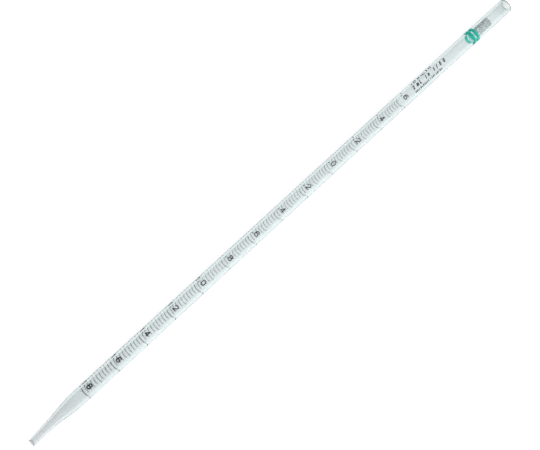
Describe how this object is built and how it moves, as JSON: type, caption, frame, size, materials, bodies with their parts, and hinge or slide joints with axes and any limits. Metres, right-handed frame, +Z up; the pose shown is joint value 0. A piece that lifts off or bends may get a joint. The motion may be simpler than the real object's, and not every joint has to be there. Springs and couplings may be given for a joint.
{
  "type": "graduated pipette",
  "caption": "Slender clear plastic serological pipette: a straight graduated tube with a tapered jet, a filter plug in the mouth end and green colour code rings.",
  "frame": {"origin": "under the middle of the tube, on the surface that the pipette lies on", "axes": "+X along the tube from the jet to the mouth, +Z up when it lies with its numerals on top"},
  "size_m": [0.275, 0.0064, 0.0064],
  "materials": {
    "clear_polystyrene": "gloss",
    "filter_cotton": "matte",
    "black_ink": "satin",
    "green_ink": "satin"
  },
  "bodies": {
    "root": {"barrel_tube": "clear_polystyrene", "filter_plug": "filter_cotton", "colour_ring_lower": "green_ink", "colour_ring_upper": "green_ink", "mark_1p8": "black_ink", "mark_1p6": "black_ink", "mark_1p4": "black_ink", "mark_1p2": "black_ink", "mark_1p0": "black_ink", "mark_0p8": "black_ink", "mark_0p6": "black_ink", "mark_0p4": "black_ink", "mark_0p2": "black_ink", "mark_0p0": "black_ink", "mark_above_0p2": "black_ink", "mark_above_0p4": "black_ink", "mark_above_0p6": "black_ink", "numeral_1p8": "black_ink", "numeral_1p6": "black_ink", "numeral_1p4": "black_ink", "numeral_1p2": "black_ink", "numeral_1p0": "black_ink", "numeral_0p8": "black_ink", "numeral_0p6": "black_ink", "numeral_0p4": "black_ink", "numeral_0p2": "black_ink", "numeral_0p0": "black_ink", "numeral_above_0p2": "black_ink", "numeral_above_0p4": "black_ink", "numeral_above_0p6": "black_ink", "decimal_point_1p8": "black_ink", "decimal_point_1p6": "black_ink", "decimal_point_1p4": "black_ink", "decimal_point_1p2": "black_ink", "decimal_point_1p0": "black_ink", "decimal_point_0p8": "black_ink", "decimal_point_0p6": "black_ink", "decimal_point_0p4": "black_ink", "decimal_point_0p2": "black_ink", "decimal_point_0p0": "black_ink", "decimal_point_above_0p2": "black_ink", "decimal_point_above_0p4": "black_ink", "decimal_point_above_0p6": "black_ink", "numeral_one_1p8": "black_ink", "numeral_one_1p6": "black_ink", "numeral_one_1p4": "black_ink", "numeral_one_1p2": "black_ink", "numeral_one_1p0": "black_ink", "minus_above_0p2": "black_ink", "minus_above_0p4": "black_ink", "minus_above_0p6": "black_ink"}
  },
  "joints": []
}
